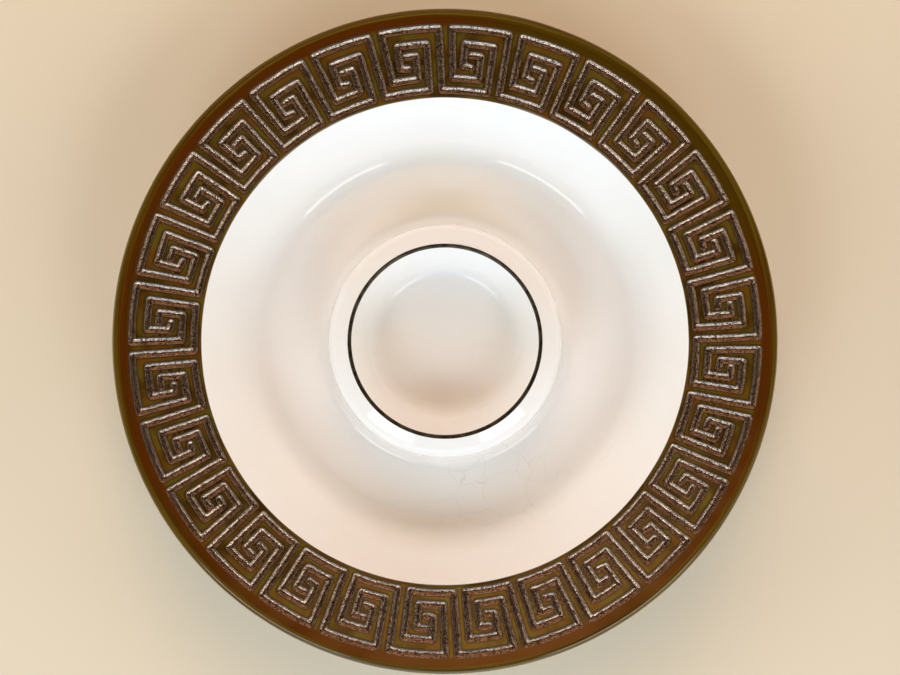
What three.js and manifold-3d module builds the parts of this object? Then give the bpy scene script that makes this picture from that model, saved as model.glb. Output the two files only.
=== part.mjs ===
import Module from 'manifold-3d';
import * as THREE from 'three';
import { mergeVertices } from 'three/addons/utils/BufferGeometryUtils.js';

// A chip and dip bowl: one glazed casting with a raised dip cup in the middle of its chip well, a
// foot ring underneath, and a Greek key sunk into its wide rim. Millimetres, +Z up. The origin is
// on the table, below the middle of the cup.

// Widths along the radius, in order from the middle of the cup out to the lip
const cupMouthRadius = 47.8;
const cupCrestWidth = 11;
const cupShoulderRun = 3.4;
const troughWidth = 38.7;
const wellWallRun = 20.8;
const flangeWidth = 43.3;

// Heights
const overallHeight = 56;
const footHeight = 5;
const cupMouthDrop = 12.5; // from the crown of the lip down to the mouth of the cup
const cupCrestFall = 4.6; // the crest of the cup slopes down by this much to its shoulder
const cupFloorLift = 1.5; // the edge of the cup's floor stands this much above the trough
const cupFloorDish = 0.8; // and its middle lies this much lower than its edge

// The clay
const wallThickness = 6;
const cupWallRun = 9; // the inside of the cup narrows by this much from mouth to floor
const flangeAngle = THREE.MathUtils.degToRad(9);
const footWidth = 7;
const footTaper = 1; // each side of the foot draws in by this much on its way down
const footInset = 2; // from the end of the flat floor under the trough in to the foot

// Rounds of the face, from the cup outwards, and of the underside
const cupFloorRound = 9;
const cupMouthRound = 1.5;
const cupCrestRound = 4.5;
const cupRootRound = 4;
const troughRound = 9.5;
const wellMouthRound = 2.5;
const grooveRound = 2.2;
const wellUnderRound = 6;
const footRound = 1.2;

// Greek key of the rim, drawn on a grid of five rows
const keyInnerMargin = 3.5; // from the mouth of the well to the middle of the innermost row
const keyOuterMargin = 10; // from the edge of the lip to the middle of the outermost row
const keyRows = 5;
const keyProportion = 1.055; // width of one key over its height
const lineShare = 0.67; // width of a sunk line over the distance between two rows
const lineFloorShare = 0.2; // width of the line's floor over its width at the face of the flange
const lineDepth = 1.2;
const lustreClearance = 0.15; // between the clay of a line and the lustre in it
const keyDrift = THREE.MathUtils.degToRad(1); // the keys, drawn by eye, crowd by this much
const keyDriftCentre = THREE.MathUtils.degToRad(50); // away from this bearing

// Lustre, in the sunk lines and round the mouth of the cup
const lustreHeight = 0.3;

// Facets
const facetsPerTurn = 48;
const wideArcSteps = 4; // even, like the next, because some pieces meet in the middle of a round
const tightArcSteps = 2;
const lipSteps = 5;
const roundingRoom = 0.48; // no round takes more than this share of the run beside it
const longestLineStep = THREE.MathUtils.degToRad(6.5);
const weldDistance = 1e-4;

const point = (radius, height) => new THREE.Vector2(radius, height);

// A straight run of the section, moved into the clay by the thickness of the wall
function sunk([from, to]) {
  const along = to.clone().sub(from).normalize();
  const shift = point(along.y, -along.x).multiplyScalar(wallThickness);
  return [from.clone().add(shift), to.clone().add(shift)];
}

// Where two straight runs of the section cross when they are carried on
function crossing([a, b], [c, d]) {
  const first = b.clone().sub(a);
  const second = d.clone().sub(c);
  const share = c.clone().sub(a).cross(second) / first.cross(second);
  return a.clone().addScaledVector(first, share);
}

// The circle that rounds a corner of the section, with its first point and its turn
function cornerCircle(before, corner, after, radius) {
  const back = before.clone().sub(corner);
  const ahead = after.clone().sub(corner);
  const room = roundingRoom * Math.min(back.length(), ahead.length());
  back.normalize();
  ahead.normalize();
  const halfAngle = Math.acos(back.dot(ahead)) / 2;
  const setback = Math.min(radius / Math.tan(halfAngle), room);
  const start = corner.clone().addScaledVector(back, setback);
  const end = corner.clone().addScaledVector(ahead, setback);
  const bisector = back.clone().add(ahead).normalize();
  const centre = corner.clone().addScaledVector(bisector, setback / Math.cos(halfAngle));
  const startArm = start.clone().sub(centre);
  const endArm = end.clone().sub(centre);
  const turn = Math.atan2(startArm.cross(endArm), startArm.dot(endArm));
  return { centre, start, turn };
}

// One point more than the steps of a turn about a centre
function arc({ centre, start, turn }, steps) {
  return Array.from({ length: steps + 1 }, (_, step) =>
    start.clone().rotateAround(centre, (turn * step) / steps));
}

const rounded = (before, corner, after, radius, steps) =>
  arc(cornerCircle(before, corner, after, radius), steps);

// Rim: the flange climbs at its angle to a lip that is a full half round
const cupCrestRadius = cupMouthRadius + cupCrestWidth;
const cupRootRadius = cupCrestRadius + cupShoulderRun;
const troughRadius = cupRootRadius + troughWidth;
const wellMouthRadius = troughRadius + wellWallRun;
const rimRadius = wellMouthRadius + flangeWidth;
const lipRadius = wallThickness / 2;
const lipCentre = point(rimRadius - lipRadius, overallHeight - lipRadius);
const flangeNormal = point(-Math.sin(flangeAngle), Math.cos(flangeAngle));
const flangeEnd = lipCentre.clone().addScaledVector(flangeNormal, lipRadius);
const flangeUnderEnd = lipCentre.clone().addScaledVector(flangeNormal, -lipRadius);
const flangeHeightAt = (radius) => flangeEnd.y - (flangeEnd.x - radius) * Math.tan(flangeAngle);

// Corners of the face, before they are rounded
const troughHeight = footHeight + wallThickness;
const cupFloorHeight = troughHeight + cupFloorLift;
const cupMouthHeight = overallHeight - cupMouthDrop;
const face = {
  middle: point(0, cupFloorHeight - cupFloorDish),
  cupFloor: point(cupMouthRadius - cupWallRun, cupFloorHeight),
  cupMouth: point(cupMouthRadius, cupMouthHeight),
  cupCrest: point(cupCrestRadius, cupMouthHeight - cupCrestFall),
  cupRoot: point(cupRootRadius, troughHeight),
  trough: point(troughRadius, troughHeight),
  wellMouth: point(wellMouthRadius, flangeHeightAt(wellMouthRadius)),
  lip: flangeEnd,
};

// Corners of the underside, which follows the face at an even wall. Under the cup's wall it runs
// up into a groove, because the clay there is no thicker than anywhere else.
const cupFloorRun = sunk([face.middle, face.cupFloor]);
const cupWall = sunk([face.cupFloor, face.cupMouth]);
const cupShoulder = sunk([face.cupCrest, face.cupRoot]);
const troughRun = sunk([face.cupRoot, face.trough]);
const wellWall = sunk([face.trough, face.wellMouth]);
const flangeRun = sunk([face.wellMouth, face.lip]);
const under = {
  middle: cupFloorRun[0].clone().setX(0),
  cupFloor: crossing(cupFloorRun, cupWall),
  groove: crossing(cupWall, cupShoulder),
  cupRoot: crossing(cupShoulder, troughRun),
  trough: crossing(troughRun, wellWall),
  wellMouth: crossing(wellWall, flangeRun),
  lip: flangeUnderEnd,
};

// Rounded corners. The outer side of a bend has the inner side's centre.
const cupFloorArc = rounded(face.middle, face.cupFloor, face.cupMouth, cupFloorRound, wideArcSteps);
const cupMouthCircle = cornerCircle(face.cupFloor, face.cupMouth, face.cupCrest, cupMouthRound);
const cupMouthArc = arc(cupMouthCircle, tightArcSteps);
const cupCrestArc = rounded(face.cupMouth, face.cupCrest, face.cupRoot, cupCrestRound, wideArcSteps);
const cupRootArc = rounded(face.cupCrest, face.cupRoot, face.trough, cupRootRound, wideArcSteps);
const troughArc = rounded(face.cupRoot, face.trough, face.wellMouth, troughRound, wideArcSteps);
const wellMouthArc = rounded(face.trough, face.wellMouth, face.lip, wellMouthRound, tightArcSteps);

const cupFloorUnderArc = rounded(
  under.middle, under.cupFloor, under.groove, cupFloorRound + wallThickness, tightArcSteps);
const grooveArc = rounded(under.cupFloor, under.groove, under.cupRoot, grooveRound, tightArcSteps);
const cupRootUnderArc = rounded(
  under.groove, under.cupRoot, under.trough, cupRootRound + wallThickness, tightArcSteps);
const troughUnderArc = rounded(
  under.cupRoot, under.trough, under.wellMouth, troughRound + wallThickness, tightArcSteps);
const wellUnderArc = rounded(
  under.trough, under.wellMouth, under.lip, wellUnderRound, tightArcSteps);

// Neighbours in the casting meet in the middle of a round
const upToMiddle = (round) => round.slice(0, (round.length + 1) / 2);
const fromMiddle = (round) => round.slice((round.length - 1) / 2);

// Glazes and clay
const whiteGlaze = new THREE.MeshStandardMaterial({ color: 0xf3efe6, roughness: 0.12 });
const brownGlaze = new THREE.MeshStandardMaterial({ color: 0x5b3a12, roughness: 0.15 });
const bareClay = new THREE.MeshStandardMaterial({ color: 0xcdb89a, roughness: 0.8 });
const darkLustre = new THREE.MeshStandardMaterial({
  color: 0x8a7b6c, roughness: 0.3, metalness: 0.9,
});

const bowl = new THREE.Group();

function addPiece(name, geometry, material) {
  const mesh = new THREE.Mesh(geometry, material);
  mesh.name = name;
  bowl.add(mesh);
}

// A solid of revolution about the bowl's axis, from an outline drawn anticlockwise
function revolve(outline) {
  return new THREE.LatheGeometry(outline, facetsPerTurn).rotateX(Math.PI / 2);
}

// An outline between an underside and a face that are both listed from the axis outwards
function ring(underside, upperside) {
  return [...underside, ...upperside.toReversed(), underside[0]];
}

// Dip cup: its floor, whole to the middle, and its wall up to the rounded edge of its mouth
const cupUnder = [under.middle, ...cupFloorUnderArc, ...upToMiddle(grooveArc)];
const cupFace = [face.middle, ...cupFloorArc, ...cupMouthArc];
addPiece('dip_cup', revolve([...cupUnder, ...cupFace.toReversed()]), whiteGlaze);

// Cup shoulder: the sloping crest round the mouth of the cup, and the steep side down to the trough
const shoulderUnder = [...fromMiddle(grooveArc), ...upToMiddle(cupRootUnderArc)];
const shoulderFace = [cupMouthArc.at(-1), ...cupCrestArc, ...upToMiddle(cupRootArc)];
addPiece('cup_shoulder', revolve(ring(shoulderUnder, shoulderFace)), whiteGlaze);

// Floor of the trough that runs round the cup
const troughUnder = [...fromMiddle(cupRootUnderArc), ...upToMiddle(troughUnderArc)];
const troughFace = [...fromMiddle(cupRootArc), ...upToMiddle(troughArc)];
addPiece('trough_floor', revolve(ring(troughUnder, troughFace)), whiteGlaze);

// Wall of the chip well. Its glaze gives way to the rim's in the middle of the rounded mouth.
const wellUnder = [...fromMiddle(troughUnderArc), ...upToMiddle(wellUnderArc)];
const wellFace = [...fromMiddle(troughArc), ...upToMiddle(wellMouthArc)];
addPiece('well_wall', revolve(ring(wellUnder, wellFace)), whiteGlaze);

// Foot ring, under the flat of the trough and just inside the bend of the well's wall
const footOuter = troughUnderArc[0].x - footInset;
const footInner = footOuter - footWidth;
const footCorners = [
  point(footInner, footHeight),
  point(footInner + footTaper, 0),
  point(footOuter - footTaper, 0),
  point(footOuter, footHeight),
];
const footOutline = [
  footCorners[0],
  ...rounded(footCorners[0], footCorners[1], footCorners[2], footRound, tightArcSteps),
  ...rounded(footCorners[1], footCorners[2], footCorners[3], footRound, tightArcSteps),
  footCorners[3],
  footCorners[0],
];
addPiece('foot_ring', revolve(footOutline), bareClay);

// Lustre line: a thin band that covers the rounded edge of the cup's mouth
const lustreGrowth = cupMouthCircle.start.clone().sub(cupMouthCircle.centre).setLength(lustreHeight);
const lustreFace = arc(
  { ...cupMouthCircle, start: cupMouthCircle.start.clone().add(lustreGrowth) }, tightArcSteps);
addPiece('cup_lustre_line', revolve(ring(cupMouthArc, lustreFace)), darkLustre);

// Greek key. Each line is a double spiral: it starts at the hook in the middle of one key, turns
// out to the outer row, comes down between two keys, and turns in to the hook of the next one.
// Columns are counted in keys, clockwise seen from above, and rows from the well outwards.
const keyCorners = [
  [0.315, 2.9], [0.475, 2.9], [0.475, 1], [0.05, 1], [0.02, 5], [0.833, 5],
  [0.867, 0], [1.657, 0], [1.65, 3.8], [1.212, 3.8], [1.212, 2], [1.335, 1.9],
];
const keyInnerRadius = wellMouthRadius + keyInnerMargin;
const keyOuterRadius = rimRadius - keyOuterMargin;
const rowPitch = (keyOuterRadius - keyInnerRadius) / keyRows;
const keyMiddleRadius = (keyInnerRadius + keyOuterRadius) / 2;
const keyWidth = keyProportion * keyRows * rowPitch;
const keyCount = Math.round((2 * Math.PI * keyMiddleRadius) / keyWidth);
const keyAngle = (2 * Math.PI) / keyCount;
const lineWidth = lineShare * rowPitch;
const lineFloorWidth = lineFloorShare * lineWidth;

// Section of a line between two depths below the face of the flange, or above it where a depth is
// less than nothing. It is narrower than the line by the clearance on each side.
function lineSection(deepest, shallowest, clearance) {
  const slope = (lineWidth - lineFloorWidth) / 2 / lineDepth;
  const halfWidthAt = (depth) => lineWidth / 2 - slope * depth - clearance;
  return [
    [halfWidthAt(deepest), -deepest],
    [halfWidthAt(shallowest), -shallowest],
    [-halfWidthAt(shallowest), -shallowest],
    [-halfWidthAt(deepest), -deepest],
  ];
}

// Middle of one key line in plan: its corners, with steps in between along the round runs
function keyPath(index) {
  const path = [];
  keyCorners.forEach(([column, row], corner) => {
    const [nextColumn, nextRow] = keyCorners[corner + 1] ?? [column, row];
    const turn = Math.abs(nextColumn - column) * keyAngle;
    const steps = row === nextRow ? Math.max(1, Math.ceil(turn / longestLineStep)) : 1;
    for (let step = 0; step < steps; step += 1) {
      const even = (index + column + ((nextColumn - column) * step) / steps) * keyAngle;
      const angle = even + keyDrift * Math.cos(even - keyDriftCentre);
      const radius = keyInnerRadius + row * rowPitch;
      path.push(point(radius * Math.sin(angle), radius * Math.cos(angle)));
    }
  });
  return path;
}

// Sideways direction at a point of a path, lengthened on a corner so that the line mitres there
function mitre(path, index) {
  const here = path[index];
  const before = path[index - 1] ?? here.clone().multiplyScalar(2).sub(path[index + 1]);
  const after = path[index + 1] ?? here.clone().multiplyScalar(2).sub(path[index - 1]);
  const into = here.clone().sub(before).normalize();
  const out = after.clone().sub(here).normalize();
  const sideways = point(-into.y - out.y, into.x + out.x);
  return sideways.multiplyScalar(1 / (1 + into.dot(out)));
}

// A closed solid through equal convex rings of points, with a flat cap on each end
function loft(rings) {
  const corners = rings[0].length;
  const triangles = [];
  for (let start = 0; start < (rings.length - 1) * corners; start += corners) {
    for (let side = 0; side < corners; side += 1) {
      const next = (side + 1) % corners;
      const [a, b, c, d] = [start + side, start + next, start + corners + next, start + corners + side];
      triangles.push(a, b, c, a, c, d);
    }
  }
  const last = (rings.length - 1) * corners;
  for (let side = 1; side < corners - 1; side += 1) {
    triangles.push(0, side + 1, side);
    triangles.push(last, last + side, last + side + 1);
  }
  const geometry = new THREE.BufferGeometry();
  geometry.setAttribute('position', new THREE.Float32BufferAttribute(rings.flat(2), 3));
  geometry.setIndex(triangles);
  geometry.computeVertexNormals();
  return geometry;
}

// A section carried along a key line, with every point set on the slope of the flange
function alongKeyLine(index, section) {
  const path = keyPath(index);
  return loft(path.map((middle, step) => {
    const sideways = mitre(path, step);
    return section.map(([offset, height]) => {
      const plan = middle.clone().addScaledVector(sideways, offset);
      return [plan.x, plan.y, flangeHeightAt(plan.length()) + height];
    });
  }));
}

// A closed geometry as a solid that can be cut, and back again
const solids = await Module();
solids.setup();

function toSolid(geometry) {
  const shell = new THREE.BufferGeometry();
  shell.setAttribute('position', geometry.getAttribute('position'));
  shell.setIndex(geometry.getIndex());
  const welded = mergeVertices(shell, weldDistance);
  return new solids.Manifold(new solids.Mesh({
    numProp: 3,
    vertProperties: welded.getAttribute('position').array,
    triVerts: Uint32Array.from(welded.getIndex().array),
  }));
}

function toGeometry(solid) {
  const { vertProperties, triVerts } = solid.getMesh();
  const geometry = new THREE.BufferGeometry();
  geometry.setAttribute('position', new THREE.BufferAttribute(vertProperties, 3));
  geometry.setIndex(new THREE.BufferAttribute(triVerts, 1));
  geometry.computeVertexNormals();
  return geometry;
}

// Rim flange and its half round lip, with the key lines sunk into its face
const lipArc = arc({ centre: lipCentre, start: flangeUnderEnd, turn: Math.PI }, lipSteps);
const rimUnder = [...fromMiddle(wellUnderArc), ...lipArc];
const cutter = lineSection(lineDepth, -lineDepth, 0);
let rim = toSolid(revolve(ring(rimUnder, fromMiddle(wellMouthArc))));
for (let index = 0; index < keyCount; index += 1) {
  rim = rim.subtract(toSolid(alongKeyLine(index, cutter)));
}
addPiece('rim_flange', toGeometry(rim), brownGlaze);

// Lustre in the bottom of each line
const lustreTop = lineDepth - lustreClearance - lustreHeight;
const lustreSection = lineSection(lineDepth - lustreClearance, lustreTop, lustreClearance);
for (let index = 0; index < keyCount; index += 1) {
  const number = String(index + 1).padStart(2, '0');
  addPiece(`key_line_${number}`, alongKeyLine(index, lustreSection), darkLustre);
}

export default bowl;
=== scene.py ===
import cmath
import math

import bmesh
import bpy
import numpy as np
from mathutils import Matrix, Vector, geometry, noise


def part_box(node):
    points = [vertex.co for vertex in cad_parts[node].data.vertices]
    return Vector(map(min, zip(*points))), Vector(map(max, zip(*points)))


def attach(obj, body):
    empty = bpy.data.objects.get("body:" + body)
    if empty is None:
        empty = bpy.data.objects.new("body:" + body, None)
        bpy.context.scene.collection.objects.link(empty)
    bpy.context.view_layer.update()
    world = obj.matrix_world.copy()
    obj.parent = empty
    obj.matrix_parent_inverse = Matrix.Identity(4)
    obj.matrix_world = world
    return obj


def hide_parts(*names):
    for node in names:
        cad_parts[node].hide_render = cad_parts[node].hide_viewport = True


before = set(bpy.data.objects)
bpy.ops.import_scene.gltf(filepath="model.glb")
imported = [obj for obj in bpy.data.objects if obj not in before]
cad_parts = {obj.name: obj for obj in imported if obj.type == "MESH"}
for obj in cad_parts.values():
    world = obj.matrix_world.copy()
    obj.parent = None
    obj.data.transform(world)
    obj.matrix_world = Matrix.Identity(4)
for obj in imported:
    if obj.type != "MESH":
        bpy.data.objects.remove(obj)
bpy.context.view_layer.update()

# Section of the casting
# The whole bowl is one piece of pale clay, cast in a plaster mould at an even wall and turned about
# one axis. Its section is drawn here as complex numbers, radius + height * 1j, in millimetres.
MM = 0.001

cup_mouth_radius = 47.8
cup_crest_radius = 58.8
cup_root_radius = 62.2
trough_radius = 100.9
well_mouth_radius = 121.7
rim_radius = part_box("rim_flange")[1].x / MM

overall_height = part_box("rim_flange")[1].z / MM
foot_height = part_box("foot_ring")[1].z / MM
wall = 6.0
trough_height = foot_height + wall
cup_floor_lift = 1.5
cup_floor_height = trough_height + cup_floor_lift
cup_floor_dish = 0.8
cup_mouth_below_lip = 12.5
cup_mouth_height = overall_height - cup_mouth_below_lip
cup_crest_fall = 4.6
cup_wall_run = 9.0
flange_angle = math.radians(9)

lip_centre = complex(rim_radius - wall / 2, overall_height - wall / 2)
flange_end = lip_centre + cmath.rect(wall / 2, flange_angle + math.pi / 2)


def flange_height(radius):
    """Height of the flange's face at a radius."""
    return flange_end.imag - (flange_end.real - radius) * math.tan(flange_angle)


def unit(vector):
    return vector / abs(vector)


def sunk(start, end):
    """A straight run of the face, moved into the clay by the thickness of the wall."""
    shift = -1j * unit(end - start) * wall
    return start + shift, end + shift


def crossing(first, second):
    """Where two straight runs cross when they are carried on."""
    along, across = first[1] - first[0], second[1] - second[0]
    share = ((second[0] - first[0]).conjugate() * across).imag / (along.conjugate() * across).imag
    return first[0] + along * share


FACE, UNDERSIDE = 1, -1
bend_step = math.radians(8)


def bend(before, corner, after, radius, side):
    """A rounded corner as (point, normal) pairs, of the FACE or of the UNDERSIDE.

    The air is on the left of a run of the face, and on the right of one of the underside.
    """
    back, ahead = unit(before - corner), unit(after - corner)
    half_angle = abs(cmath.phase(ahead / back)) / 2
    centre = corner + unit(back + ahead) * radius / math.sin(half_angle)
    start_arm = corner + back * radius / math.tan(half_angle) - centre
    end_arm = corner + ahead * radius / math.tan(half_angle) - centre
    turn = cmath.phase(end_arm / start_arm)
    steps = 2 * math.ceil(abs(turn) / bend_step)
    arms = [start_arm * cmath.rect(1, turn * step / steps) for step in range(steps + 1)]
    outward = -side * math.copysign(1, turn)
    return [(centre + arm, unit(arm) * outward) for arm in arms]


face_middle = complex(0, cup_floor_height - cup_floor_dish)
face_cup_floor = complex(cup_mouth_radius - cup_wall_run, cup_floor_height)
face_cup_mouth = complex(cup_mouth_radius, cup_mouth_height)
face_cup_crest = complex(cup_crest_radius, cup_mouth_height - cup_crest_fall)
face_cup_root = complex(cup_root_radius, trough_height)
face_trough = complex(trough_radius, trough_height)
face_well_mouth = complex(well_mouth_radius, flange_height(well_mouth_radius))

cup_floor_run = sunk(face_middle, face_cup_floor)
cup_wall_run_under = sunk(face_cup_floor, face_cup_mouth)
shoulder_run = sunk(face_cup_crest, face_cup_root)
trough_run = sunk(face_cup_root, face_trough)
well_wall_run = sunk(face_trough, face_well_mouth)
flange_run = sunk(face_well_mouth, flange_end)
under_middle = complex(0, cup_floor_run[0].imag)
under_cup_floor = crossing(cup_floor_run, cup_wall_run_under)
under_groove = crossing(cup_wall_run_under, shoulder_run)
under_cup_root = crossing(shoulder_run, trough_run)
under_trough = crossing(trough_run, well_wall_run)
under_well_mouth = crossing(well_wall_run, flange_run)
under_lip = lip_centre - cmath.rect(wall / 2, flange_angle + math.pi / 2)

cup_floor_bend = bend(face_middle, face_cup_floor, face_cup_mouth, radius=9, side=FACE)
cup_mouth_bend = bend(face_cup_floor, face_cup_mouth, face_cup_crest, radius=1.5, side=FACE)
cup_crest_bend = bend(face_cup_mouth, face_cup_crest, face_cup_root, radius=8, side=FACE)
cup_root_bend = bend(face_cup_crest, face_cup_root, face_trough, radius=7, side=FACE)
trough_bend = bend(face_cup_root, face_trough, face_well_mouth, radius=14, side=FACE)
well_mouth_bend = bend(face_trough, face_well_mouth, flange_end, radius=2.5, side=FACE)
cup_floor_under_bend = bend(under_middle, under_cup_floor, under_groove, radius=15, side=UNDERSIDE)
groove_bend = bend(under_cup_floor, under_groove, under_cup_root, radius=2.2, side=UNDERSIDE)
cup_root_under_bend = bend(under_groove, under_cup_root, under_trough, radius=10, side=UNDERSIDE)
trough_under_bend = bend(under_cup_root, under_trough, under_well_mouth, radius=15.5, side=UNDERSIDE)
well_under_bend = bend(under_trough, under_well_mouth, under_lip, radius=6, side=UNDERSIDE)

# White glazed cup and well
# The dip cup, its shoulder, the floor of the trough and the wall of the well, as the mould gives
# them. Their face is under an opaque white glaze, which is glossy, a little crazed and pinholed.


def first_half(round_):
    return round_[: len(round_) // 2 + 1]


def second_half(round_):
    return round_[len(round_) // 2:]


# A point within this distance of the axis lies on it, in millimetres
axis_reach = 1e-6


def turned(name, face, under, facets=240):
    """A solid turned from its face and its underside, both drawn from the axis outwards.

    The face takes the first material and the underside the second. Normals are the section's own,
    so that neighbours in the casting meet without a line.
    """
    outline = [*under, *reversed(face)]
    shell = bmesh.new()
    rings = []
    for place, _ in outline:
        count = facets if place.real > axis_reach else 1
        angles = [2 * math.pi * step / count for step in range(count)]
        rings.append([
            shell.verts.new((place.real * math.cos(a) * MM, place.real * math.sin(a) * MM,
                             place.imag * MM))
            for a in angles
        ])
    closing = len(outline) if outline[0][0].real > axis_reach else len(outline) - 1
    for index in range(closing):
        near, far = rings[index], rings[(index + 1) % len(rings)]
        for step in range(facets):
            corners = [
                near[step % len(near)], near[(step + 1) % facets % len(near)],
                far[(step + 1) % facets % len(far)], far[step % len(far)],
            ]
            panel = shell.faces.new(list(dict.fromkeys(corners)))
            panel.smooth = True
            panel.material_index = int(index < len(under))
    mesh = bpy.data.meshes.new(name)
    bmesh.ops.recalc_face_normals(shell, faces=shell.faces)
    shell.to_mesh(mesh)
    shell.free()
    normals = []
    for (place, normal), ring in zip(outline, rings):
        for step in range(len(ring)):
            a = 2 * math.pi * step / len(ring)
            normals.append((normal.real * math.cos(a), normal.real * math.sin(a), normal.imag))
    mesh.normals_split_custom_set_from_vertices(normals)
    piece = bpy.data.objects.new(name, mesh)
    bpy.context.scene.collection.objects.link(piece)
    return piece


def new_material(name):
    """A node material, with its tree and its Principled BSDF."""
    material = bpy.data.materials.new(name)
    material.use_nodes = True
    return material, material.node_tree, material.node_tree.nodes["Principled BSDF"]


def feed(tree, socket, value):
    """Links a socket to another one, or sets it to a value."""
    if isinstance(value, bpy.types.NodeSocket):
        tree.links.new(value, socket)
    else:
        socket.default_value = value


def add_node(tree, kind, settings=(), **inputs):
    """A shader node with its settings, and its inputs by name: a value, or a socket to link."""
    node = tree.nodes.new(kind)
    for key, value in dict(settings).items():
        setattr(node, key, value)
    for key, value in inputs.items():
        socket = node.inputs[int(key[1:]) if key[0] == "_" else key.replace("_", " ")]
        feed(tree, socket, value)
    return node


def math_node(tree, operation, *values):
    """The output of a Math node."""
    node = add_node(tree, "ShaderNodeMath", {"operation": operation})
    for socket, value in zip(node.inputs, values):
        feed(tree, socket, value)
    return node.outputs[0]


def fade(tree, value, low, high):
    """0 below low and 1 above high, with a soft change between them."""
    node = add_node(
        tree, "ShaderNodeMapRange", {"interpolation_type": "SMOOTHSTEP"},
        Value=value, From_Min=low, From_Max=high)
    return node.outputs["Result"]


def fade_out(tree, value, low, high):
    """1 below low and 0 above high, with a soft change between them."""
    return math_node(tree, "SUBTRACT", 1.0, fade(tree, value, low, high))


def swung(tree, pattern, amount):
    """A noise pattern taken about its middle, times an amount."""
    return math_node(tree, "MULTIPLY", math_node(tree, "SUBTRACT", pattern, 0.5), amount)


def blend_colours(tree, share, first, second, mode="MIX"):
    """The first colour, turned into the second by the share."""
    node = add_node(tree, "ShaderNodeMix", {"data_type": "RGBA", "blend_type": mode})
    for index, value in ((0, share), (6, first), (7, second)):
        feed(tree, node.inputs[index], value)
    return node.outputs[2]


def new_group(name, inputs, outputs):
    """A node group with float inputs, given as name: default, and float outputs."""
    group = bpy.data.node_groups.new(name, "ShaderNodeTree")
    for label, default in inputs.items():
        socket = group.interface.new_socket(label, in_out="INPUT", socket_type="NodeSocketFloat")
        socket.default_value = default
    for label in outputs:
        group.interface.new_socket(label, in_out="OUTPUT", socket_type="NodeSocketFloat")
    return group, group.nodes.new("NodeGroupInput"), group.nodes.new("NodeGroupOutput")


def place_group(tree, group, **inputs):
    """A node group, placed in a tree with its own values."""
    return add_node(tree, "ShaderNodeGroup", {"node_tree": group}, **inputs)


# How a glaze lies: long soft waves, patches where it is a little thicker, and rare pinholes
glaze_lie, lie_in, lie_out = new_group(
    "glaze lie", {"Patch Scale": 30.0, "Pinhole Share": 0.06}, ["Waves", "Patches", "Pinholes"])
spot = add_node(glaze_lie, "ShaderNodeTexCoord").outputs["Object"]
waves = add_node(glaze_lie, "ShaderNodeTexNoise", Vector=spot, Scale=22.0, Detail=2.0, Roughness=0.4)
patches = add_node(
    glaze_lie, "ShaderNodeTexNoise", Vector=spot, Scale=lie_in.outputs["Patch Scale"], Detail=3.0)
holes = add_node(glaze_lie, "ShaderNodeTexVoronoi", Vector=spot, Scale=55.0)
rare = math_node(
    glaze_lie, "LESS_THAN",
    add_node(glaze_lie, "ShaderNodeSeparateColor", Color=holes.outputs["Color"]).outputs[0],
    lie_in.outputs["Pinhole Share"])
tiny = fade_out(glaze_lie, holes.outputs["Distance"], 0.008, 0.022)
glaze_lie.links.new(waves.outputs[0], lie_out.inputs["Waves"])
glaze_lie.links.new(patches.outputs[0], lie_out.inputs["Patches"])
glaze_lie.links.new(math_node(glaze_lie, "MULTIPLY", rare, tiny), lie_out.inputs["Pinholes"])

# Distance from the bowl's axis in millimetres, as a band laid on by hand keeps to it
hand_radius, hand_in, hand_out = new_group(
    "hand radius", {"Waver": 0.3, "Waver Scale": 60.0}, ["Radius"])
spot = add_node(hand_radius, "ShaderNodeTexCoord").outputs["Object"]
flat = add_node(
    hand_radius, "ShaderNodeVectorMath", {"operation": "MULTIPLY"}, _0=spot, _1=(1 / MM, 1 / MM, 0.0))
reach = add_node(hand_radius, "ShaderNodeVectorMath", {"operation": "LENGTH"}, _0=flat.outputs[0])
drift = add_node(
    hand_radius, "ShaderNodeTexNoise", Vector=spot, Scale=hand_in.outputs["Waver Scale"], Detail=2.0)
waver = swung(
    hand_radius, drift.outputs[0], math_node(hand_radius, "MULTIPLY", hand_in.outputs["Waver"], 2.0))
hand_radius.links.new(
    math_node(hand_radius, "ADD", reach.outputs["Value"], waver), hand_out.inputs["Radius"])

cream, milk = (0.91, 0.88, 0.83, 1), (0.93, 0.905, 0.865, 1)
crazed_brown, pinhole_brown = (0.52, 0.45, 0.37, 1), (0.42, 0.31, 0.2, 1)
creeping_brown = (0.07, 0.045, 0.012, 1)
white_glaze, tree, surface = new_material("white glaze")
surface.inputs["Roughness"].default_value = 0.045
surface.inputs["IOR"].default_value = 1.5
lie = place_group(tree, glaze_lie, Patch_Scale=14.0, Pinhole_Share=0.05)
radius = place_group(tree, hand_radius, Waver=0.12, Waver_Scale=45.0).outputs["Radius"]
body = blend_colours(tree, fade(tree, lie.outputs["Patches"], 0.35, 0.65), cream, milk)

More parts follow.
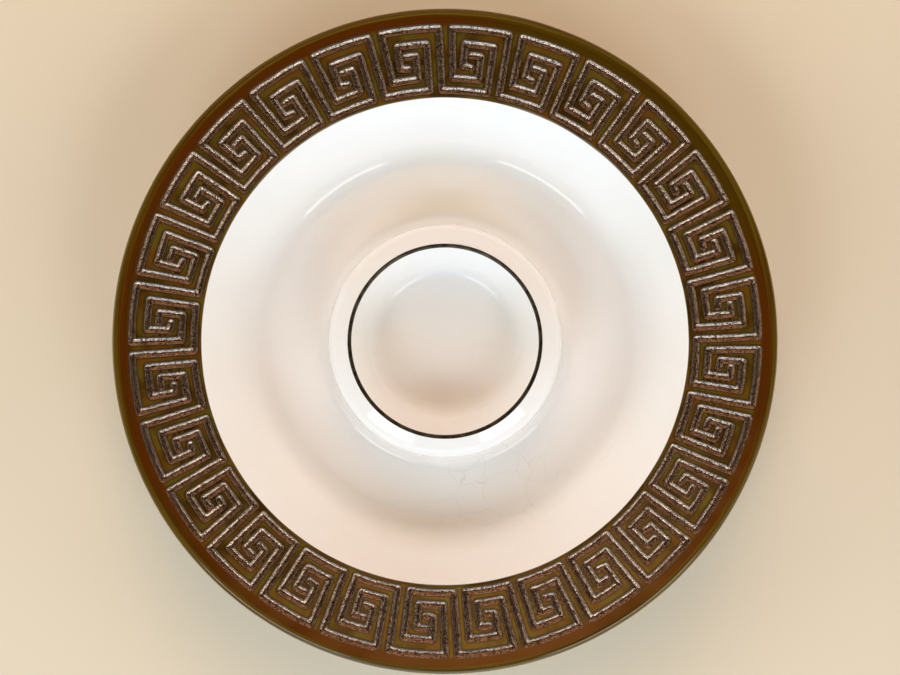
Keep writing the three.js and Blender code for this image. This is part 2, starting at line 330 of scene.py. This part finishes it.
# Crazing: a net of hairlines, seen only here and there and most of all on one side of the trough
spot = add_node(tree, "ShaderNodeTexCoord").outputs["Object"]
crooked = add_node(tree, "ShaderNodeTexNoise", Vector=spot, Scale=70.0, Detail=2.0)
bent = add_node(
    tree, "ShaderNodeVectorMath", {"operation": "MULTIPLY_ADD"},
    _0=crooked.outputs["Color"], _1=(0.012, 0.012, 0.012), _2=spot)
net = add_node(
    tree, "ShaderNodeTexVoronoi", {"feature": "DISTANCE_TO_EDGE"}, Vector=bent.outputs[0], Scale=62.0)
hairline = fade_out(tree, net.outputs["Distance"], 0.0, 0.018)
crazed_place = (0.026, -0.068, 0.012)
away = add_node(tree, "ShaderNodeVectorMath", {"operation": "DISTANCE"}, _0=spot, _1=crazed_place)
near = fade_out(tree, away.outputs["Value"], 0.01, 0.05)
crazing = math_node(
    tree, "MULTIPLY", hairline,
    math_node(tree, "ADD", math_node(tree, "MULTIPLY", near, 0.2), 0.035))
body = blend_colours(tree, crazing, body, crazed_brown)
body = blend_colours(
    tree, math_node(tree, "MULTIPLY", lie.outputs["Pinholes"], 0.6), body, pinhole_brown)

# The brown of the rim creeps a little over the mouth of the well
brown_edge = fade(tree, radius, well_mouth_radius - 0.25, well_mouth_radius + 0.05)
body = blend_colours(tree, brown_edge, body, creeping_brown)
tree.links.new(body, surface.inputs["Base Color"])
dents = add_node(
    tree, "ShaderNodeBump", Height=lie.outputs["Waves"], Distance=0.0006, Strength=0.35)
tree.links.new(dents.outputs[0], surface.inputs["Normal"])

cup_outline = ([(face_middle, 1j), *cup_floor_bend, *cup_mouth_bend],
               [(under_middle, -1j), *cup_floor_under_bend, *first_half(groove_bend)])
shoulder_outline = ([cup_mouth_bend[-1], *cup_crest_bend, *first_half(cup_root_bend)],
                    [*second_half(groove_bend), *first_half(cup_root_under_bend)])
trough_outline = ([*second_half(cup_root_bend), *first_half(trough_bend)],
                  [*second_half(cup_root_under_bend), *first_half(trough_under_bend)])
well_outline = ([*second_half(trough_bend), *first_half(well_mouth_bend)],
                [*second_half(trough_under_bend), *first_half(well_under_bend)])
white_pieces = []
for node, outline in (("dip_cup", cup_outline), ("cup_shoulder", shoulder_outline),
                      ("trough_floor", trough_outline), ("well_wall", well_outline)):
    piece = turned(node + "_glazed", *outline)
    piece.data.materials.append(white_glaze)
    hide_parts(node)
    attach(piece, "root")
    white_pieces.append(piece)

# Greek key lines
# A running key of 28 double spirals, sunk into the flange by the mould. Each channel is lined with a
# dark metallic lustre, fired on over the glaze, which is silvery and grainy on the bottom and the
# walls of the channel and worn to dark glossy glaze beside its edges, and further down the walls that
# face the near side and the right as painted shade.
KEYS = 28
key_angle = 2 * math.pi / KEYS
key_rows = 5
key_inner_margin, key_outer_margin = 3.5, 10
key_inner_radius = well_mouth_radius + key_inner_margin
key_outer_radius = rim_radius - key_outer_margin
row_pitch = (key_outer_radius - key_inner_radius) / key_rows
line_width_in_rows = 0.67
line_half_width = line_width_in_rows * row_pitch / 2
key_drift = math.radians(1)
key_drift_centre = math.radians(50)

# Columns in keys, clockwise seen from above, and rows from the well outwards
key_corners = [
    (0.315, 2.9), (0.475, 2.9), (0.475, 1), (0.05, 1), (0.02, 5), (0.833, 5),
    (0.867, 0), (1.657, 0), (1.65, 3.8), (1.212, 3.8), (1.212, 2), (1.335, 1.9),
]

# Section of a line: distance from its middle over half its width, and depth under the flange
line_section = [
    (0, 1.1), (0.1, 1.07), (0.22, 0.98), (0.38, 0.81), (0.54, 0.59), (0.7, 0.34), (0.82, 0.15),
    (0.92, 0.04), (1, 0),
]
line_underside = [(0.9, 1.6), (0, 1.6)]


def key_place(index, column, row):
    """A corner of a key line, as its bearing and its radius."""
    even = (index + column) * key_angle
    return even + key_drift * math.cos(even - key_drift_centre), key_inner_radius + row * row_pitch


def line_contour(places, grain=1.2, fan=math.radians(24)):
    """Stations round a line, down one side and back up the other: (bearing, radius, sideways).

    Sideways is the way out from the middle of the line, as clockwise + outward * 1j. It swings
    round on the outer side of a corner and at an end, and it is a mitre on the inner side.
    """
    route = places + places[-2:0:-1]
    count = len(route)
    runs = []
    for index in range(count):
        (bearing, radius), (next_bearing, next_radius) = route[index], route[(index + 1) % count]
        middle = (radius + next_radius) / 2
        runs.append(complex((next_bearing - bearing) * middle, next_radius - radius))

    def sides(index):
        """Sideways at a corner of the route, in the order in which they swing round it."""
        into, out = unit(runs[index - 1]), unit(runs[index % count])
        turn = cmath.phase(out / into)
        if math.isclose(abs(turn), math.pi, abs_tol=1e-6):
            turn = -math.pi
        if turn >= 0:
            return [1j * (into + out) / (1 + (into.conjugate() * out).real)]
        steps = math.ceil(-turn / fan)
        return [1j * into * cmath.rect(1, turn * step / steps) for step in range(steps + 1)]

    stations = []
    for index in range(count):
        swing = sides(index)
        stations += [(*route[index], sideways) for sideways in swing]
        start = (*route[index], swing[-1])
        end = (*route[(index + 1) % count], sides(index + 1)[0])
        steps = max(1, round(abs(runs[index]) / grain))
        for step in range(1, steps):
            share = step / steps
            stations.append(tuple(a + (b - a) * share for a, b in zip(start, end)))
    return stations


# The lines sway and their depth swells a little: how quickly round the rim, and how much. The seed
# keeps the sway the same each time.
noise.seed_set(28)
sway_scale, sway_reach = 0.16, 0.16
swell_scale, swell_share, swell_origin = 0.3, 0.08, Vector((50, 0, 0))


def on_flange(station, share, depth):
    """A point of a line's section, in millimetres, as the carved model of the mould has it."""
    bearing, radius, sideways = station
    offset = sideways * line_half_width * share
    reach = radius + offset.imag
    swing = bearing + offset.real / reach
    spot = Vector((reach * math.sin(swing), reach * math.cos(swing), 0))
    sway = noise.noise_vector(spot * sway_scale) * sway_reach
    swell = 1 + swell_share * noise.noise(spot * swell_scale + swell_origin)
    spot += Vector((sway.x, sway.y, 0))
    spot.z = flange_height(spot.xy.length) - depth * swell
    return spot


def sunk_line(name, stations, weld=0.02):
    """The lining of one sunk line, as one closed piece: its channel, and a flat underside."""
    lining = bmesh.new()
    across = lining.verts.layers.float.new("across")
    rings = []
    for station in stations:
        ring = []
        for share, depth in line_section + line_underside:
            vertex = lining.verts.new(on_flange(station, share, depth) * MM)
            vertex[across] = share
            ring.append(vertex)
        rings.append(ring)
    for index, ring in enumerate(rings):
        ahead = rings[(index + 1) % len(rings)]
        for level in range(len(ring) - 1):
            panel = lining.faces.new((ring[level], ring[level + 1], ahead[level + 1], ahead[level]))
            panel.smooth = True
    bmesh.ops.remove_doubles(lining, verts=lining.verts, dist=weld * MM)
    bmesh.ops.recalc_face_normals(lining, faces=lining.faces)
    mesh = bpy.data.meshes.new(name)
    lining.to_mesh(mesh)
    lining.free()
    piece = bpy.data.objects.new(name, mesh)
    bpy.context.scene.collection.objects.link(piece)
    return piece


tarnish, silver, clump_brown = (0.07, 0.038, 0.018, 1), (0.78, 0.58, 0.43, 1), (0.1, 0.055, 0.025, 1)
worn_glaze_and_painted_shade, edge_glaze = (0.022, 0.01, 0.003, 1), (0.1, 0.052, 0.012, 1)
lustre, tree, surface = new_material("dark lustre")
spot = add_node(tree, "ShaderNodeTexCoord").outputs["Object"]
across = add_node(tree, "ShaderNodeAttribute", {"attribute_name": "across"}).outputs["Fac"]
grains = add_node(tree, "ShaderNodeTexNoise", Vector=spot, Scale=1500.0, Detail=3.0, Roughness=0.65)
clumps = add_node(tree, "ShaderNodeTexNoise", Vector=spot, Scale=350.0, Detail=3.0, Roughness=0.6)
wear_and_painted_shade = math_node(tree, "ADD", across, swung(tree, clumps.outputs[0], 0.3))

# Painted shade: the walls that face the near side and the right turn to dark glaze a little further
# down than the others
painted_shade_lean = add_node(
    tree, "ShaderNodeVectorMath", {"operation": "DOT_PRODUCT"},
    _0=add_node(tree, "ShaderNodeTexCoord").outputs["Normal"], _1=(0.12, -0.2, 0))
wear_and_painted_shade = math_node(tree, "ADD", wear_and_painted_shade, painted_shade_lean.outputs["Value"])
glassy_and_painted_shade = fade(tree, wear_and_painted_shade, 0.71, 0.87)
metal = blend_colours(tree, fade(tree, grains.outputs[0], 0.4, 0.54), tarnish, silver)
metal = blend_colours(
    tree, fade(tree, clumps.outputs[0], 0.32, 0.5), blend_colours(tree, 0.5, metal, clump_brown), metal)
# Dark glaze where the lustre is worn, and as painted shade on the walls that face the near side and the
# right
metal = blend_colours(tree, glassy_and_painted_shade, metal, worn_glaze_and_painted_shade)
metal = blend_colours(tree, fade(tree, across, 0.9, 0.97), metal, edge_glaze)
tree.links.new(metal, surface.inputs["Base Color"])
tree.links.new(
    math_node(tree, "SUBTRACT", 0.95, math_node(tree, "MULTIPLY", glassy_and_painted_shade, 0.95)),
    surface.inputs["Metallic"])
tree.links.new(
    math_node(tree, "SUBTRACT", 0.2, math_node(tree, "MULTIPLY", glassy_and_painted_shade, 0.08)),
    surface.inputs["Roughness"])
fine = add_node(tree, "ShaderNodeBump", Height=grains.outputs[0], Distance=0.0002, Strength=0.85)
coarse = add_node(
    tree, "ShaderNodeBump", Height=clumps.outputs[0], Distance=0.0003, Strength=0.4,
    Normal=fine.outputs[0])
tree.links.new(coarse.outputs[0], surface.inputs["Normal"])

line_edges = []
for index in range(KEYS):
    number = f"{index + 1:02d}"
    stations = line_contour([key_place(index, *corner) for corner in key_corners])
    line_edges.append([on_flange(station, 1, 0) for station in stations])
    piece = sunk_line("key_lining_" + number, stations)
    piece.data.materials.append(lustre)
    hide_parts("key_line_" + number)
    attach(piece, "root")

# Rim flange
# The wide sloping rim and its rolled lip, under a glossy brown glaze that is rust where it lies
# thick, olive where it thins, and nearly bare gold where it breaks on the edge of the lip.
lip_turn = 24
lip_bend = [
    (lip_centre + cmath.rect(wall / 2, flange_angle - math.pi / 2 + math.pi * step / lip_turn),
     cmath.rect(1, flange_angle - math.pi / 2 + math.pi * step / lip_turn))
    for step in range(lip_turn + 1)
]
rim_facets = 720
channel_depth = 1.9

# How far each place of the flange lies from the middle of the nearest line, in millimetres. It is
# kept up to gap_limit, and each run of a line is only measured from spots within run_reach of its
# middle, along either axis.
gap_limit = 12.0
run_reach = 14
arc_step = math.radians(2)
line_starts, line_ends = [], []
for index in range(KEYS):
    places = [key_place(index, *corner) for corner in key_corners]
    for (bearing, radius), (next_bearing, next_radius) in zip(places, places[1:]):
        steps = max(1, math.ceil(abs(next_bearing - bearing) / arc_step))
        for step in range(steps):
            for store, share in ((line_starts, step / steps), (line_ends, (step + 1) / steps)):
                turn = bearing + (next_bearing - bearing) * share
                reach = radius + (next_radius - radius) * share
                store.append((reach * math.sin(turn), reach * math.cos(turn)))
line_starts, line_ends = np.array(line_starts), np.array(line_ends)


def distance_to_line(spots):
    nearest = np.full(len(spots), gap_limit)
    for start, end in zip(line_starts, line_ends):
        run = end - start
        close = np.flatnonzero(np.abs(spots - (start + end) / 2).max(1) < run_reach)
        arm = spots[close] - start
        share = np.clip(arm @ run / (run @ run), 0, 1)
        nearest[close] = np.minimum(nearest[close], np.hypot(*(arm - share[:, None] * run).T))
    return nearest


# The rim is turned but for the flat of its flange, which is laid between the edges of the lines
rim_points, rim_normals, rim_faces = [], [], []
rim_rings = []
rim_outline = [*second_half(well_under_bend), *lip_bend, *reversed(second_half(well_mouth_bend))]
for place, normal in rim_outline:
    start = len(rim_points)
    rim_rings.append(range(start, start + rim_facets))
    for step in range(rim_facets):
        a = 2 * math.pi * step / rim_facets
        rim_points.append((place.real * math.cos(a), place.real * math.sin(a), place.imag))
        rim_normals.append((normal.real * math.cos(a), normal.real * math.sin(a), normal.imag))
flat_end = len(second_half(well_under_bend)) + lip_turn
for index in range(len(rim_rings)):
    near, far = rim_rings[index], rim_rings[(index + 1) % len(rim_rings)]
    if index == flat_end:
        continue
    for step in range(rim_facets):
        ahead = (step + 1) % rim_facets
        rim_faces.append((near[step], near[ahead], far[ahead], far[step]))

# The flat's own points stand a millimetre apart, clear of its outer edge and of the lines
outer_margin, line_margin = 0.6, 0.45
flat_rings = (*rim_rings[flat_end], *rim_rings[flat_end + 1])
flat_start_radius, flat_end_radius = well_mouth_bend[-1][0].real, flange_end.real
spread = []
for row in range(1, round(flat_end_radius - flat_start_radius)):
    reach = flat_start_radius + row
    if reach < flat_end_radius - outer_margin:
        around = round(2 * math.pi * reach)
        turns = (np.arange(around) + row % 2 / 2) * 2 * np.pi / around
        spread.append(np.column_stack((reach * np.cos(turns), reach * np.sin(turns))))
spread = np.concatenate(spread)
spread = spread[distance_to_line(spread) > line_half_width + line_margin]

plan = [Vector(rim_points[index][:2]) for index in flat_rings]
loops = []
for edge in line_edges:
    loops.append(range(len(plan), len(plan) + len(edge)))
    plan += [spot.xy for spot in edge]
plan += [Vector(spot) for spot in spread]
circles = [
    (start + step, start + (step + 1) % rim_facets)
    for start in (0, rim_facets) for step in range(rim_facets)
]
whole_plan, meeting_distance = 0, 1e-4
laid_plan, _, laid_faces, laid_sources, _, sunk_faces = geometry.delaunay_2d_cdt(
    plan, circles, [list(reversed(loop)) for loop in loops], whole_plan, meeting_distance)
flange_slope = (-math.sin(flange_angle), math.cos(flange_angle))
upper = []
for spot, sources in zip(laid_plan, laid_sources):
    source = min(sources, default=len(plan))
    if source < len(flat_rings):
        upper.append(flat_rings[source])
        continue
    reach = spot.length
    upper.append(len(rim_points))
    rim_points.append((spot.x, spot.y, flange_height(reach)))
    rim_normals.append(
        (spot.x / reach * flange_slope[0], spot.y / reach * flange_slope[0], flange_slope[1]))

# Inside the lines the flat is laid again at the bottom of the channel, and walls join the two. The
# faces of the hole in the middle of the flat are left out.
hole_margin = 0.05
lower = {}
borders = set()
for corners, sources in zip(laid_faces, sunk_faces):
    if sources:
        for corner in corners:
            if corner not in lower:
                lower[corner] = len(rim_points)
                x, y, z = rim_points[upper[corner]]
                rim_points.append((x, y, z - channel_depth))
                rim_normals.append((0, 0, 1))
        rim_faces.append([lower[corner] for corner in corners])
        for here, there in zip(corners, corners[1:] + corners[:1]):
            if (there, here) in borders:
                borders.remove((there, here))
            else:
                borders.add((here, there))
    elif any(laid_plan[corner].length > flat_start_radius + hole_margin for corner in corners):
        rim_faces.append([upper[corner] for corner in corners])
for here, there in borders:
    rim_faces.append((lower[there], lower[here], upper[here], upper[there]))

rim_mesh = bpy.data.meshes.new("rim_flange_glazed")
rim_mesh.from_pydata([Vector(point) * MM for point in rim_points], [], rim_faces)
rim_mesh.shade_smooth()
shell = bmesh.new()
shell.from_mesh(rim_mesh)
bmesh.ops.recalc_face_normals(shell, faces=shell.faces)
shell.to_mesh(rim_mesh)
shell.free()
rim_mesh.normals_split_custom_set_from_vertices(rim_normals)

# The glaze knows how far it lies from the edge of a line. The underside and the lip lie away from all.
gaps = distance_to_line(np.array(rim_points)[:, :2]) - line_half_width
gaps[:flat_end * rim_facets] = gap_limit
gap_layer = rim_mesh.attributes.new("gap", "FLOAT", "POINT")
gap_layer.data.foreach_set("value", np.clip(gaps, 0, gap_limit).astype(np.float32))
rim = bpy.data.objects.new("rim_flange_glazed", rim_mesh)
bpy.context.scene.collection.objects.link(rim)

brown_glaze, tree, surface = new_material("brown glaze")
surface.inputs["Roughness"].default_value = 0.09
surface.inputs["IOR"].default_value = 1.55
lie = place_group(tree, glaze_lie, Patch_Scale=55.0, Pinhole_Share=0.02)
radius = place_group(tree, hand_radius, Waver=0.5, Waver_Scale=35.0).outputs["Radius"]
gap = add_node(tree, "ShaderNodeAttribute", {"attribute_name": "gap"}).outputs["Fac"]
amber, olive = (0.115, 0.046, 0.005, 1), (0.1, 0.066, 0.007, 1)
thick_brown, umber = (0.045, 0.02, 0.002, 1), (0.02, 0.009, 0.002, 1)
spot = add_node(tree, "ShaderNodeTexCoord").outputs["Object"]
shades = add_node(tree, "ShaderNodeTexNoise", Vector=spot, Scale=95.0, Detail=4.0, Roughness=0.6)
ground = blend_colours(tree, fade(tree, shades.outputs[0], 0.4, 0.6), amber, olive)
ground = blend_colours(
    tree, fade(tree, lie.outputs["Patches"], 0.44, 0.66), ground, thick_brown)
# The ground darkens to umber towards the edges of the lines
ground = blend_colours(tree, fade_out(tree, gap, -0.2, 0.8), ground, umber)

# Long streaks run round the rim, and the bands of the lip wander with them
turned_place = add_node(tree, "ShaderNodeSeparateXYZ", Vector=spot)
rings = add_node(
    tree, "ShaderNodeCombineXYZ", X=math_node(tree, "MULTIPLY", radius, 0.9),
    Y=math_node(tree, "MULTIPLY", turned_place.outputs["X"], 12.0),
    Z=math_node(tree, "MULTIPLY", turned_place.outputs["Y"], 12.0))
streaks = add_node(
    tree, "ShaderNodeTexNoise", Vector=rings.outputs[0], Scale=1.0, Detail=4.0, Roughness=0.6)
wandering = math_node(tree, "ADD", radius, swung(tree, streaks.outputs[0], 5.0))

# The lip's rust thins to olive about one place on its far right
rust, thin_rust = (0.086, 0.019, 0.001, 1), (0.062, 0.031, 0.001, 1)
thin_place = (0.104, 0.124, 0.053)
away = add_node(tree, "ShaderNodeVectorMath", {"operation": "DISTANCE"}, _0=spot, _1=thin_place)
rust_there = blend_colours(tree, fade(tree, away.outputs["Value"], 0.06, 0.12), thin_rust, rust)

# Each band of the lip comes in between two radii, in millimetres
rust_radii, dark_streak_radii = (155.4, 157.2), (157.0, 158.0)
lip_olive_radii, gold_radii = (160.4, 162.4), (163.9, 164.7)
dark_streak, lip_olive, gold = (0.05, 0.022, 0.002, 1), (0.1, 0.06, 0.004, 1), (0.3, 0.17, 0.05, 1)
ground = blend_colours(tree, fade(tree, wandering, *rust_radii), ground, rust_there)
ground = blend_colours(tree, fade(tree, wandering, *lip_olive_radii), ground, lip_olive)
streaked = blend_colours(tree, fade(tree, radius, *dark_streak_radii), ground, dark_streak)
ground = blend_colours(tree, fade(tree, streaks.outputs[0], 0.3, 0.55), streaked, ground)
ground = blend_colours(tree, fade(tree, radius, *gold_radii), ground, gold)
tree.links.new(ground, surface.inputs["Base Color"])
ripples = add_node(
    tree, "ShaderNodeBump", Height=lie.outputs["Waves"], Distance=0.0008, Strength=0.5)
tree.links.new(ripples.outputs[0], surface.inputs["Normal"])
for piece in white_pieces:
    piece.data.materials.append(brown_glaze)
rim.data.materials.append(brown_glaze)
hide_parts("rim_flange")
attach(rim, "root")

# Foot ring
# A low ring trimmed on the underside, which the bowl stands on. Its sides are glazed with the rest
# of the outside, and its standing face is wiped back to the dry fired clay.
foot_inset, foot_width, foot_taper, foot_round = 2, 7, 1, 1.2
foot_outer = trough_under_bend[0][0].real - foot_inset
foot_inner = foot_outer - foot_width
foot_root_height = foot_height + 0.2   # a little way into the casting
foot_corners = [
    complex(foot_inner, foot_root_height), complex(foot_inner + foot_taper, 0),
    complex(foot_outer - foot_taper, 0), complex(foot_outer, foot_root_height),
]
foot_inner_bend = bend(*foot_corners[:3], radius=foot_round, side=UNDERSIDE)
foot_outer_bend = bend(*foot_corners[1:], radius=foot_round, side=UNDERSIDE)
foot_top_margin = 0.05   # so that its top and its sides share no point of the outline
foot = turned(
    "foot_ring_wiped",
    [(foot_corners[0] + foot_top_margin, 1j), (foot_corners[3] - foot_top_margin, 1j)],
    [(foot_corners[0], -1 + 0j), *foot_inner_bend, *foot_outer_bend, (foot_corners[3], 1 + 0j)])

dark_clay, pale_clay = (0.58, 0.47, 0.34, 1), (0.72, 0.62, 0.49, 1)
side_glaze = (0.09, 0.045, 0.008, 1)
bare_clay, tree, surface = new_material("bare clay and glazed sides")
spot = add_node(tree, "ShaderNodeTexCoord").outputs["Object"]
height = add_node(tree, "ShaderNodeSeparateXYZ", Vector=spot).outputs["Z"]
rough_edge = add_node(tree, "ShaderNodeTexNoise", Vector=spot, Scale=160.0, Detail=3.0)
uneven_height = math_node(tree, "ADD", height, swung(tree, rough_edge.outputs[0], 0.0012))
glazed = fade(tree, uneven_height, 0.0012, 0.0015)
grit = add_node(tree, "ShaderNodeTexNoise", Vector=spot, Scale=900.0, Detail=4.0, Roughness=0.7)
clay = blend_colours(tree, fade(tree, grit.outputs[0], 0.35, 0.65), dark_clay, pale_clay)
tree.links.new(blend_colours(tree, glazed, clay, side_glaze), surface.inputs["Base Color"])
tree.links.new(
    math_node(tree, "SUBTRACT", 0.8, math_node(tree, "MULTIPLY", glazed, 0.7)),
    surface.inputs["Roughness"])
pits = add_node(tree, "ShaderNodeBump", Height=grit.outputs[0], Distance=0.0002, Strength=0.5)
tree.links.new(pits.outputs[0], surface.inputs["Normal"])
for side in (FACE, UNDERSIDE):
    foot.data.materials.append(bare_clay)
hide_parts("foot_ring")
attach(foot, "root")

# Lustre line
# A thin band of the same dark lustre, laid by hand on the rounded edge of the cup's mouth while
# the bowl turned on a wheel, and fired on.
line_thickness = 0.12
line_face = [(place + normal * line_thickness, normal) for place, normal in cup_mouth_bend[2:-2]]
line_back = [(place - normal * line_thickness, -normal) for place, normal in cup_mouth_bend[2:-2]]
cup_line = turned("cup_line_banded", line_face, line_back)

band_dark, band_light = (0.035, 0.028, 0.016, 1), (0.1, 0.085, 0.05, 1)
band, tree, surface = new_material("dark lustre band")
spot = add_node(tree, "ShaderNodeTexCoord").outputs["Object"]
strokes = add_node(tree, "ShaderNodeTexNoise", Vector=spot, Scale=260.0, Detail=3.0, Roughness=0.6)
tree.links.new(
    blend_colours(tree, fade(tree, strokes.outputs[0], 0.35, 0.7), band_dark, band_light),
    surface.inputs["Base Color"])
surface.inputs["Metallic"].default_value = 0.6
surface.inputs["Roughness"].default_value = 0.25
brushed = add_node(tree, "ShaderNodeBump", Height=strokes.outputs[0], Distance=0.0001, Strength=0.4)
tree.links.new(brushed.outputs[0], surface.inputs["Normal"])
for side in (FACE, UNDERSIDE):
    cup_line.data.materials.append(band)
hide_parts("cup_lustre_line")
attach(cup_line, "root")

# Camera
# Straight above the bowl, as the photograph was taken, and about three millimetres off its middle.
# Its height and its lens are one pair under which the bowl's circles fall as in the photograph.
camera_place = (0.0025, 0.0019, 0.653)
camera_lens, camera_sensor = 48.4, 36
camera_roll = math.radians(0.38)
camera_data = bpy.data.cameras.new("camera")
camera_data.sensor_width = camera_sensor
camera_data.lens = camera_lens
camera = bpy.data.objects.new("camera", camera_data)
camera.location = camera_place
camera.rotation_euler = (0, 0, camera_roll)
bpy.context.scene.collection.objects.link(camera)
bpy.context.scene.camera = camera

# Light and floor
# Six softboxes light the bowl evenly from round about and show in no glaze. What the glaze and the
# lustre mirror is two windows on the near side and the soft glow of the room. The floor is plain and
# pale.
softbox_size, window_size = (0.9, 0.9), (0.58, 0.36)
window_power, window_colour = 3, (0.9, 0.95, 1.0)
lamp_target = Vector((0, 0, 0.03))


def softbox(name, place, size, power, colour, mirrored):
    """An area lamp aimed at the bowl. One that isn't mirrored shows in no glaze, like a diffuser."""
    data = bpy.data.lights.new(name, "AREA")
    data.shape = "RECTANGLE"
    data.size, data.size_y = size
    data.energy = power
    data.color = colour
    lamp = bpy.data.objects.new(name, data)
    lamp.location = place
    lamp.rotation_euler = (lamp_target - Vector(place)).to_track_quat("-Z", "Y").to_euler()
    lamp.visible_glossy = mirrored
    bpy.context.scene.collection.objects.link(lamp)


for name, place, power, colour in (
        ("left softbox", (-0.705, -1.007, 0.89), 6.5, (0.71, 0.86, 1.0)),
        ("right softbox", (0.705, -1.007, 0.89), 5.0, (0.77, 0.865, 1.0)),
        ("left fill", (-1.41, 0, 0.543), 7.1, (0.905, 1.0, 1.0)),
        ("right fill", (1.41, 0, 0.543), 5.4, (1.0, 1.0, 0.94)),
        ("far fill", (0, 1.299, 0.78), 8.2, (1.0, 0.9, 0.92)),
        ("upper fill", (0, 0.86, 1.259), 5.0, (1.0, 0.6, 0.22))):
    softbox(name, place, softbox_size, power, colour, mirrored=False)
for name, place in (
        ("left window", (-0.581, -0.93, 1.05)), ("right window", (0.613, -0.909, 1.05))):
    softbox(name, place, window_size, window_power, window_colour, mirrored=True)

# The room's glow is a sum of directions, each with the two cosines between which it comes in: warm on
# the far side and the left, cool and bright low on the near side, dim on the right, and one small
# warm spot nearly overhead.
world = bpy.data.worlds.new("room")
world.use_nodes = True
tree = world.node_tree
way = add_node(tree, "ShaderNodeTexCoord").outputs["Generated"]
room = None
for towards, low, high, colour in (
        ((0, 1, 0), 0.35, 1.0, (0.46, 0.24, 0.14, 1)),
        ((0, -1, 0), 0.42, 1.0, (0.23, 0.28, 0.32, 1)),
        ((0, -0.99, 0.14), 0.84, 1.0, (1.18, 1.62, 2.12, 1)),
        ((-1, 0, 0), 0.88, 1.0, (0.75, 0.58, 0.43, 1)),
        ((-0.75, -0.55, 0.37), 0.86, 0.97, (0.25, 0.21, 0.16, 1)),
        ((0.75, -0.55, 0.37), 0.86, 0.97, (0.66, 0.58, 0.47, 1)),
        ((1, 0, 0), 0.3, 1.0, (0.03, 0.018, 0.01, 1)),
        ((-0.031, 0.113, 0.993), 0.9949, 0.9983, (1.7, 0.86, 0.25, 1))):
    facing = add_node(tree, "ShaderNodeVectorMath", {"operation": "DOT_PRODUCT"}, _0=way, _1=towards)
    share = add_node(
        tree, "ShaderNodeMapRange", Value=facing.outputs["Value"], From_Min=low, From_Max=high)
    glow = blend_colours(tree, share.outputs["Result"], (0, 0, 0, 1), colour)
    room = glow if room is None else blend_colours(tree, 1.0, room, glow, "ADD")
tree.links.new(room, tree.nodes["Background"].inputs["Color"])
bpy.context.scene.world = world

floor_reach = 4
floor_corners = [(x * floor_reach, y * floor_reach, 0) for x, y in ((-1, -1), (1, -1), (1, 1), (-1, 1))]
floor_mesh = bpy.data.meshes.new("floor")
floor_mesh.from_pydata(floor_corners, [], [(0, 1, 2, 3)])
floor = bpy.data.objects.new("floor", floor_mesh)
bpy.context.scene.collection.objects.link(floor)
floor_paint, tree, surface = new_material("pale floor")
surface.inputs["Base Color"].default_value = (0.79, 0.68, 0.505, 1)
surface.inputs["Roughness"].default_value = 0.6
floor_mesh.materials.append(floor_paint)

bpy.context.scene.view_settings.view_transform = "Standard"
